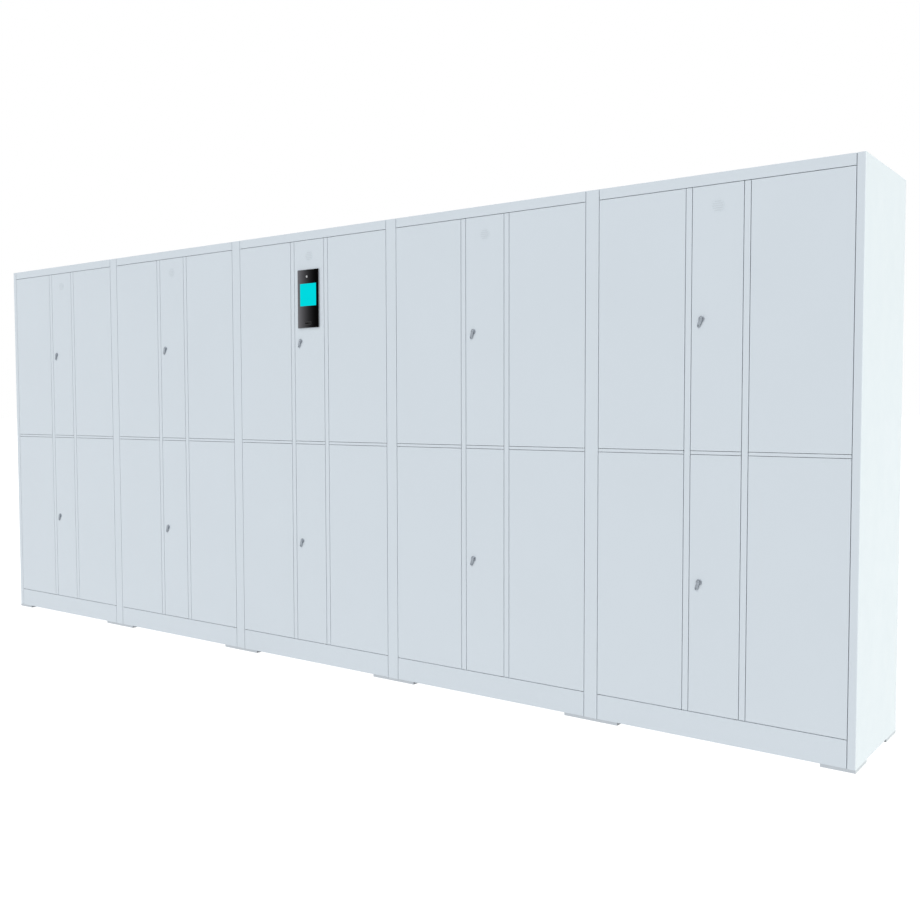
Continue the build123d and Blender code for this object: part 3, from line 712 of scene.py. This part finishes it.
def add_lock_board(model, low, high, relays):
    board = Board(model, low, high)
    plate = ((low.x, board.face, low.z), (high.x, high.y - BOARD_BACK, high.z))
    model.block(*plate, "circuit_board", 0.2 * MM)
    board.fixings()
    pitch = board.width / relays
    for i in range(relays):
        across = pitch * (i + 0.5)
        board.relay(across, board.height - 22 * MM, 0.7 * pitch)
        board.terminals(across, 20 * MM, 0.7 * pitch)
        board.round_part(across, board.height - 38 * MM, 1.5 * MM, 3 * MM, "green_plastic")
        board.part(across - 3 * MM, 38 * MM, 3 * MM, 6 * MM, 2 * MM, "black_plastic", 0.2 * MM)
        board.part(across + 4 * MM, 38 * MM, 2 * MM, 4 * MM, 0.8 * MM, "white_plastic", 0.1 * MM)
    middle = board.height / 2
    board.chip(board.width * 0.42, middle + 6 * MM, 10 * MM, 30 * MM)
    board.chip(board.width * 0.72, middle + 10 * MM, 7 * MM, 12 * MM)
    crystal = (board.width * 0.72, middle - 6 * MM)
    board.part(*crystal, 11 * MM, 4.5 * MM, 3.5 * MM, "zinc_steel", 1 * MM)
    for rise in (-8 * MM, 4 * MM):
        board.capacitor(board.width * 0.16, middle + rise, 4.5 * MM, 12 * MM)
    board.part(board.width * 0.88, middle, 5.5 * MM, 22 * MM, 8 * MM, "white_plastic", 0.4 * MM)


def add_power_supply(model, low, high):
    """A slotted steel cover over a dark inside, with a terminal strip along its lower end."""
    sheet, strip = SUPPLY_SHEET, SUPPLY_STRIP
    left, right, front, back = low.x, high.x, low.y, high.y - sheet
    foot = low.z + strip
    model.block((left, back, low.z), high, "zinc_steel", 0.3 * MM)
    inside = (left + 3 * MM, front + 4 * MM, foot + 2 * MM)
    model.block(inside, (right - 3 * MM, back, high.z - 3 * MM), "black_plastic")
    for x in (left, right - sheet):
        model.block((x, front, foot), (x + sheet, back, high.z), "zinc_steel", 0.3 * MM)
    for z in (foot, high.z - sheet):
        start, end = (left + sheet, front, z), (right - sheet, back, z + sheet)
        model.block(start, end, "zinc_steel", 0.3 * MM)
    top, bottom = high.z - sheet, foot + sheet
    border = SUPPLY_BORDER
    for x in (left + sheet, (left + right - border) / 2, right - sheet - border):
        model.block((x, front, bottom), (x + border, front + sheet, top), "zinc_steel")
    pitch = (top - bottom) / (2 * SUPPLY_BARS - 1)
    for i in range(SUPPLY_BARS):
        z = bottom + 2 * i * pitch
        start = (left + sheet, front + 0.05 * MM, z)
        model.block(start, (right - sheet, front + sheet, z + pitch), "zinc_steel")
    base = front + SUPPLY_BASE
    start, end = (left + sheet, base, low.z), (right - sheet, back, foot)
    model.block(start, end, "black_plastic", 0.8 * MM)
    for i in range(SUPPLY_WAYS):
        x = left + (right - left) * (i + 0.5) / SUPPLY_WAYS
        add_screw(model, (x, base, low.z + strip * 0.4), "Y", -2 * MM, 3 * MM)
    for i in range(SUPPLY_WAYS + 1):
        x = left + 2 * MM + (right - left - 4 * MM) * i / SUPPLY_WAYS
        start = (x - SUPPLY_WALL, front + 6 * MM, low.z)
        end = (x + SUPPLY_WALL, front + 14.5 * MM, foot - 2 * MM)
        model.block(start, end, "black_plastic", 0.3 * MM)


def make_electrics():
    model = Model()
    for low, high in islands("control_electronics"):
        height = high.z - low.z
        if high.y - low.y > SUPPLY_DEPTH:
            add_power_supply(model, low, high)
        else:
            add_lock_board(model, low, high, 4 if height < TALL_BOARD else 3)
    model.place("control_boards", "root", "circuit_board", ["control_electronics"])


DUCT = (28 * MM, 30 * MM)  # width and depth
DUCT_ENDS = (0.25, 1.72)  # heights
DUCT_PITCH = 12 * MM
DUCT_FINGER = 7 * MM
DUCT_WALL = 1.5 * MM
DUCT_GAP = 8 * MM  # from the divider


def make_wiring_ducts():
    """A slotted duct on the back sheet of each service column, for the wires of its locks."""
    model = Model()
    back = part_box("back_panels")[1].y - SHEET
    for low, _ in islands("column_dividers")[1::2]:
        right, left = low.x - DUCT_GAP, low.x - DUCT_GAP - DUCT[0]
        front = back - DUCT[1]
        wall = DUCT_WALL
        model.block((left, back - wall, DUCT_ENDS[0]), (right, back, DUCT_ENDS[1]), "duct_plastic")
        lid = (left - 0.5 * MM, front, DUCT_ENDS[0]), (right + 0.5 * MM, front + wall, DUCT_ENDS[1])
        model.block(*lid, "duct_plastic", 0.5 * MM)
        count = int((DUCT_ENDS[1] - DUCT_ENDS[0]) / DUCT_PITCH)
        for x in (left, right - wall):
            for i in range(count):
                z = DUCT_ENDS[0] + i * DUCT_PITCH
                start, end = (x, front + wall, z), (x + wall, back - wall, z + DUCT_FINGER)
                model.block(start, end, "duct_plastic")
    model.place("wiring_ducts", "root", "black_plastic")


# Control panel and coin box


LENS_HOLE = 5 * MM
LENS_RIM = 0.7 * MM
LENS_LIP = 1.1 * MM  # from the hole's edge to the dome
LENS_DEPTH = 0.6 * MM
DOME_RINGS = 6
COIN_RISE = 18.3 * MM  # from the glass's lower edge to the middle of the coin mouth
COIN_BEZEL = (48 * MM, 18 * MM)  # width and height
COIN_MOUTH = (35 * MM, 6.4 * MM)
COIN_RIBS = (-6.6 * MM, -5.2 * MM, 5.2 * MM, 6.6 * MM)  # heights about the mouth
COIN_RIB = (19 * MM, 0.3 * MM)  # half its width and height
PANEL_SCREWS = 44 * MM  # to each side of the middle
PANEL_SLOTS = 8
SLOT_PITCH = 7  # mm
SOCKET_DEPTH = 7 * MM


def add_dome(model, x, z, back, radius, rise, finish):
    """A low round dome that bulges to the front."""
    loops = []
    for i in range(DOME_RINGS + 1):
        turn = math.pi / 2 * i / (DOME_RINGS + 0.6)  # the last loop is small, and closed by its cap
        reach, y = radius * math.cos(turn), back - rise * math.sin(turn)
        loops.append([Vector((x + reach * u, y, z + reach * v)) for u, v in circle(1)()])
    model.skin(loops, finish)


def make_lens():
    """The lens's barrel behind the glass, its bezel and its low dome."""
    low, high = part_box("camera_lens")
    x, z = (low.x + high.x) / 2, (low.z + high.z) / 2
    glass_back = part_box("panel_glass")[1].y
    front = low.y
    model = Model()
    barrel = circle((high.x - low.x) / 2)
    length = high.y - glass_back
    model.prism(barrel, (x, glass_back, z), "Y", length, "black_plastic", 0.8 * MM)
    dome = LENS_HOLE - LENS_LIP
    bezel = (
        (LENS_HOLE, glass_back),
        (LENS_HOLE, front),
        (LENS_HOLE - LENS_RIM, front),
        (dome, front + LENS_DEPTH),
    )
    loops = []
    for reach, y in bezel:
        loops.append([Vector((x + reach * u, y, z + reach * v)) for u, v in circle(1, 40)()])
    model.skin(loops, "lens")
    add_dome(model, x, z, front + LENS_DEPTH, dome, 0.5 * MM, "lens")
    model.place("lens_unit", PANEL_DOOR, "lens", ["camera_lens"])


def make_coin_entry():
    """A bezel round the coin mouth, with flared lips and a grip of fine ribs above and below."""
    low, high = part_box("coin_acceptor")
    front = low.y
    x = (low.x + high.x) / 2
    opening_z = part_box("panel_glass")[0].z + COIN_RISE
    model = Model()
    outer = rounded(*COIN_BEZEL, 1.5 * MM)
    mouth = rounded(*COIN_MOUTH, 1.2 * MM)
    steps = (  # the outline, inset and depth of each loop, in millimetres
        (outer, 0.05, 0),
        (outer, 0.3, -0.35),
        (outer, 1.0, -0.5),
        (mouth, -1.2, -0.5),
        (mouth, 0, 0.02),
    )
    loops = []
    for outline, inset, depth in steps:
        y = front + depth * MM
        loops.append([Vector((x + u, y, opening_z + v)) for u, v in outline(inset * MM)])
    # the bezel has the glass's finish, with its painted reflection
    model.skin(loops, "panel_glass", ring=True)
    reach, half = COIN_RIB
    for rise in COIN_RIBS:
        start = (x - reach, front - 0.85 * MM, opening_z + rise - half)
        end = (x + reach, front - 0.4 * MM, opening_z + rise + half)
        model.block(start, end, "black_plastic", 0.12 * MM)
    model.place("coin_entry", PANEL_DOOR, "panel_glass")


def make_panel_back():
    """Corner screws, cooling slots and the cable socket on the back of the panel's tub."""
    low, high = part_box("panel_housing")
    back = high.y
    middle = (low.x + high.x) / 2
    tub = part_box("coin_acceptor")
    model = Model()
    bottom, top = low.z + 22 * MM, high.z - 20 * MM
    for x in (middle - PANEL_SCREWS, middle + PANEL_SCREWS):
        for z in (bottom, top):
            add_screw(model, (x, back, z), "Y", 1.6 * MM, 3 * MM)
    for i in range(PANEL_SLOTS):
        z = top - 22 * MM - i * SLOT_PITCH * MM
        start, end = (middle - 28 * MM, back, z), (middle + 28 * MM, back + 0.8 * MM, z + 3 * MM)
        model.block(start, end, "grey_plastic", 0.3 * MM)
    socket = (middle, back, tub[0].z + 62 * MM)
    shell, insert = rounded(34 * MM, 14 * MM, 2 * MM), rounded(28 * MM, 8 * MM, 1 * MM)
    model.prism(shell, socket, "Y", SOCKET_DEPTH, "black_plastic", 0.6 * MM)
    face = (middle, back + SOCKET_DEPTH, socket[2])
    model.prism(insert, face, "Y", 0.4 * MM, "white_plastic", 0.1 * MM)
    model.place("panel_back_fittings", PANEL_DOOR, "black_plastic")


def make_coin_box_fittings():
    """A lock and a pull handle on the front of the coin box."""
    low, high = max(islands("coin_box"), key=lambda pair: pair[1].z - pair[0].z)
    model = Model()
    grip_z = low.z + 78 * MM
    for x in (high.x - 52 * MM, high.x - 12 * MM):
        model.prism(circle(3 * MM, 20), (x, low.y, grip_z), "Y", -12 * MM, "zinc_steel")
    bar = (high.x - 56 * MM, low.y - 11 * MM, grip_z)
    model.prism(circle(3.2 * MM, 20), bar, "X", 48 * MM, "zinc_steel", 1 * MM)
    lock = ((low.x + high.x) / 2, low.y, high.z - 22 * MM)
    model.prism(circle(9 * MM), lock, "Y", -1.6 * MM, "lock_chrome", 0.6 * MM)
    plug = (lock[0], low.y - 1.6 * MM, lock[2])
    model.prism(circle(6 * MM), plug, "Y", -0.6 * MM, "lock_chrome", 0.2 * MM)
    start = (lock[0] - 0.6 * MM, low.y - 2.3 * MM, lock[2] - 3.6 * MM)
    end = (lock[0] + 0.6 * MM, low.y - 2.1 * MM, lock[2] + 3.6 * MM)
    model.block(start, end, "black_plastic")
    model.place("coin_box_fittings", "root", "zinc_steel")


EMBLEM_RADIUS = 21 * MM
EMBLEM_DROP = 67 * MM  # below the door's upper edge
EMBLEM_HEIGHT = 0.6 * MM
EMBLEM_BARS = ((-14, 22), (-7, 33), (0, 37), (7, 33), (14, 22))  # rise and width, in mm


def make_emblems():
    """A plain disc with five bars near the top of each upper service door."""
    for module in range(1, MODULES + 1):
        door = f"service_door_{module}_upper"
        low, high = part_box(door)
        place = ((low.x + high.x) / 2, FRONT, high.z - EMBLEM_DROP)
        model = Model()
        disc = circle(EMBLEM_RADIUS, 64)
        model.prism(disc, place, "Y", -EMBLEM_HEIGHT, "cabinet_paint", 0.25 * MM)
        for rise, width in EMBLEM_BARS:
            middle = (place[0], FRONT - EMBLEM_HEIGHT, place[2] + rise * MM)
            bar = rounded(width * MM, 3.2 * MM, 1.5 * MM)
            model.prism(bar, middle, "Y", -0.5 * MM, "emblem", 0.2 * MM)
        model.place(f"disc_{module}", door, "cabinet_paint")


# The CAD nodes that stay in view


BUSH_HEIGHT = 22 * MM
BUSH_REACH = 16.8 * MM  # from the door's sheet to a little behind the bush
BUSH_HALF_WIDTH = 6.8 * MM
TONGUE_HEIGHT = 22 * MM
LOCK_NUT_RADIUS = 13 * MM
LOCK_NUT_HEIGHT = 4 * MM
LOCK_REACH = (6 * MM, 21 * MM)  # before and behind the front plane
RECESS = (3.4 * MM, 8.7 * MM)  # how far it stands out from the front plane, and its radius
PANEL_SIDES = (-5.4 * MM, 0.1 * MM)  # where the panel's grey sides lie, from the front plane
BRACKET_SHEET = 1.3 * MM  # only the coin box's bracket is as thin as this
INLET_PINS = (8.2, 7, 3.2)  # mm, half the space that they take up
INLET_DEPTH = 11 * MM  # from the back of the inlet to the pins' middle
SLACK = Vector([0.02 * MM] * 3)


def within(low, high):
    """A test for places between two corners."""
    low, high = low - SLACK, high + SLACK
    return lambda place: all(a <= p <= b for a, p, b in zip(low, place, high))


def about(place, reach):
    """A test for places near to one, by the reach along each axis."""
    return within(Vector(place) - Vector(reach), Vector(place) + Vector(reach))


def dress_door(door):
    """Shows the bushes and the tongue welded to a door as bare steel."""
    low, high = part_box(door)
    x = JOINTS[f"{door}_hinge"]["pos_m"][0]
    reach = (BUSH_HALF_WIDTH, BUSH_REACH / 2, BUSH_HEIGHT / 2)
    for z in (low.z + SHEET + BUSH_HEIGHT / 2, high.z - SHEET - BUSH_HEIGHT / 2):
        middle = (x, FRONT + SHEET + BUSH_REACH / 2, z)
        dress(door, "zinc_steel", about(middle, reach))
    middle_z = (low.z + high.z) / 2
    start = Vector((low.x, FRONT + SHEET, middle_z - TONGUE_HEIGHT / 2))
    end = Vector((high.x, high.y, middle_z + TONGUE_HEIGHT / 2))
    dress(door, "zinc_steel", within(start, end))


def dress_lock(module, row):
    """The lock's chromed housing, its darker face round the plug, and the nut behind the door."""
    door = f"service_door_{module}_{row}"
    x, _, z = JOINTS[f"key_lock_{module}_{row}_turn"]["pos_m"]
    reach = LOCK_NUT_RADIUS * 1.01
    low = Vector((x - reach, FRONT - LOCK_REACH[0], z - reach))
    high = Vector((x + reach, FRONT + LOCK_REACH[1], z + reach))
    dress(door, "lock_chrome", within(low, high))
    low.y, high.y = FRONT + SHEET, FRONT + SHEET + LOCK_NUT_HEIGHT
    dress(door, "zinc_steel", within(low, high))
    dress(door, "lock_recess", lock_recess(x, z))


def lock_recess(x, z):
    """A test for the flat ring round the plug, in the middle of the lock's face."""
    proud, radius = RECESS
    axis = Vector((x, z))
    return lambda place: place.y < FRONT - proud and (Vector(place.xz) - axis).length < radius


def foot_ends_in_shade(low, high):
    """The ends of a foot plate that face the space under the bank, as pairs of corners; their dark finish is
    painted shade.
    """
    ends = []
    for x in (low.x, high.x):
        if FOOT_SPAN[0] + MM < x < FOOT_SPAN[1] - MM:
            ends.append((Vector((x, low.y, low.z)), Vector((x, high.y, high.z))))
    if low.y > 0:
        ends.append((low, Vector((high.x, low.y, high.z))))
    return ends


def dress_frame():
    for part in frame["record"]["subparts"]:
        dress(part["node"], part["material_slot"])
    for module in range(1, MODULES + 1):
        for row in ROWS:
            for hand in ("left", "right"):
                dress_door(f"door_{module}_{row}_{hand}")
            dress_door(f"service_door_{module}_{row}")
            dress_lock(module, row)
    # painted shade: the ends of the foot plates under the bank get a dark finish
    for low, high in islands("foot_plates"):
        for end in foot_ends_in_shade(low, high):
            dress("foot_plates", "foot_painted_shade", within(*end))
    # painted shade: the hinge pins get a dark finish so that they stay as dark as the gaps round them
    dress("hinge_pins", "pin_steel_painted_shade")
    side, seat = FRONT + PANEL_SIDES[0], FRONT + PANEL_SIDES[1]
    dress("panel_housing", "panel_frame", lambda place: side < place.y < seat)
    for low, high in islands("coin_box"):
        if high.z - low.z < BRACKET_SHEET:
            dress("coin_box", "cabinet_paint", within(low, high))
    inlet_low, inlet_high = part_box("mains_inlet")
    middle = (inlet_low + inlet_high) / 2
    pins = Vector((middle.x, inlet_high.y - INLET_DEPTH, middle.z))
    dress("mains_inlet", "brass", about(pins, Vector(INLET_PINS) * MM))


dress_frame()
make_keys()
make_electric_locks()
make_fasteners()
make_back_rivets()
make_electrics()
make_wiring_ducts()
make_lens()
make_coin_entry()
make_panel_back()
make_coin_box_fittings()
make_emblems()


# Stage and light


FLOOR_EDGE = 300
SKY_LEVEL = 0.38


def make_floor():
    edge = FLOOR_EDGE
    corners = [(-edge, -edge, 0), (edge, -edge, 0), (edge, edge, 0), (-edge, edge, 0)]
    mesh = bpy.data.meshes.new("floor")
    mesh.from_pydata(corners, [], [(0, 1, 2, 3)])
    floor = bpy.data.objects.new("floor", mesh)
    bpy.context.scene.collection.objects.link(floor)
    shader = Shader("floor_finish", (0.15, 0.15, 0.15), 0.9)
    shader.set("Emission Color", (1, 1, 1, 1))
    shader.set("Emission Strength", 1.0)
    shader.set("Specular IOR Level", 0.0)
    mesh.materials.append(shader.material)


def make_lamp(name, toward, strength, angle, color=(1, 1, 1)):
    """A far studio lamp. It stands in the direction that is given, seen from the object."""
    data = bpy.data.lights.new(name, "SUN")
    data.energy = strength
    data.angle = math.radians(angle)
    data.color = color
    lamp = bpy.data.objects.new(name, data)
    lamp.rotation_euler = Vector(toward).to_track_quat("Z", "Y").to_euler()
    bpy.context.scene.collection.objects.link(lamp)


def make_sky():
    """A white backdrop, which lights the object more dimly than it looks."""
    world = bpy.data.worlds.new("studio")
    world.use_nodes = True
    tree = world.node_tree
    background = tree.nodes["Background"]
    background.inputs["Color"].default_value = (1, 1, 1, 1)
    rays = tree.nodes.new("ShaderNodeLightPath")
    level = tree.nodes.new("ShaderNodeMapRange")
    level.inputs["To Min"].default_value = 1.0
    level.inputs["To Max"].default_value = SKY_LEVEL
    tree.links.new(rays.outputs["Is Diffuse Ray"], level.inputs["Value"])
    tree.links.new(level.outputs[0], background.inputs["Strength"])
    bpy.context.scene.world = world


make_floor()
make_sky()
make_lamp("key_lamp", (0, -0.643, 0.766), strength=1.57, angle=50)
make_lamp("side_lamp", (0.9, 0.12, 0.42), strength=1.99, angle=16, color=(0.99, 1, 0.88))
bpy.context.scene.view_settings.view_transform = "Standard"
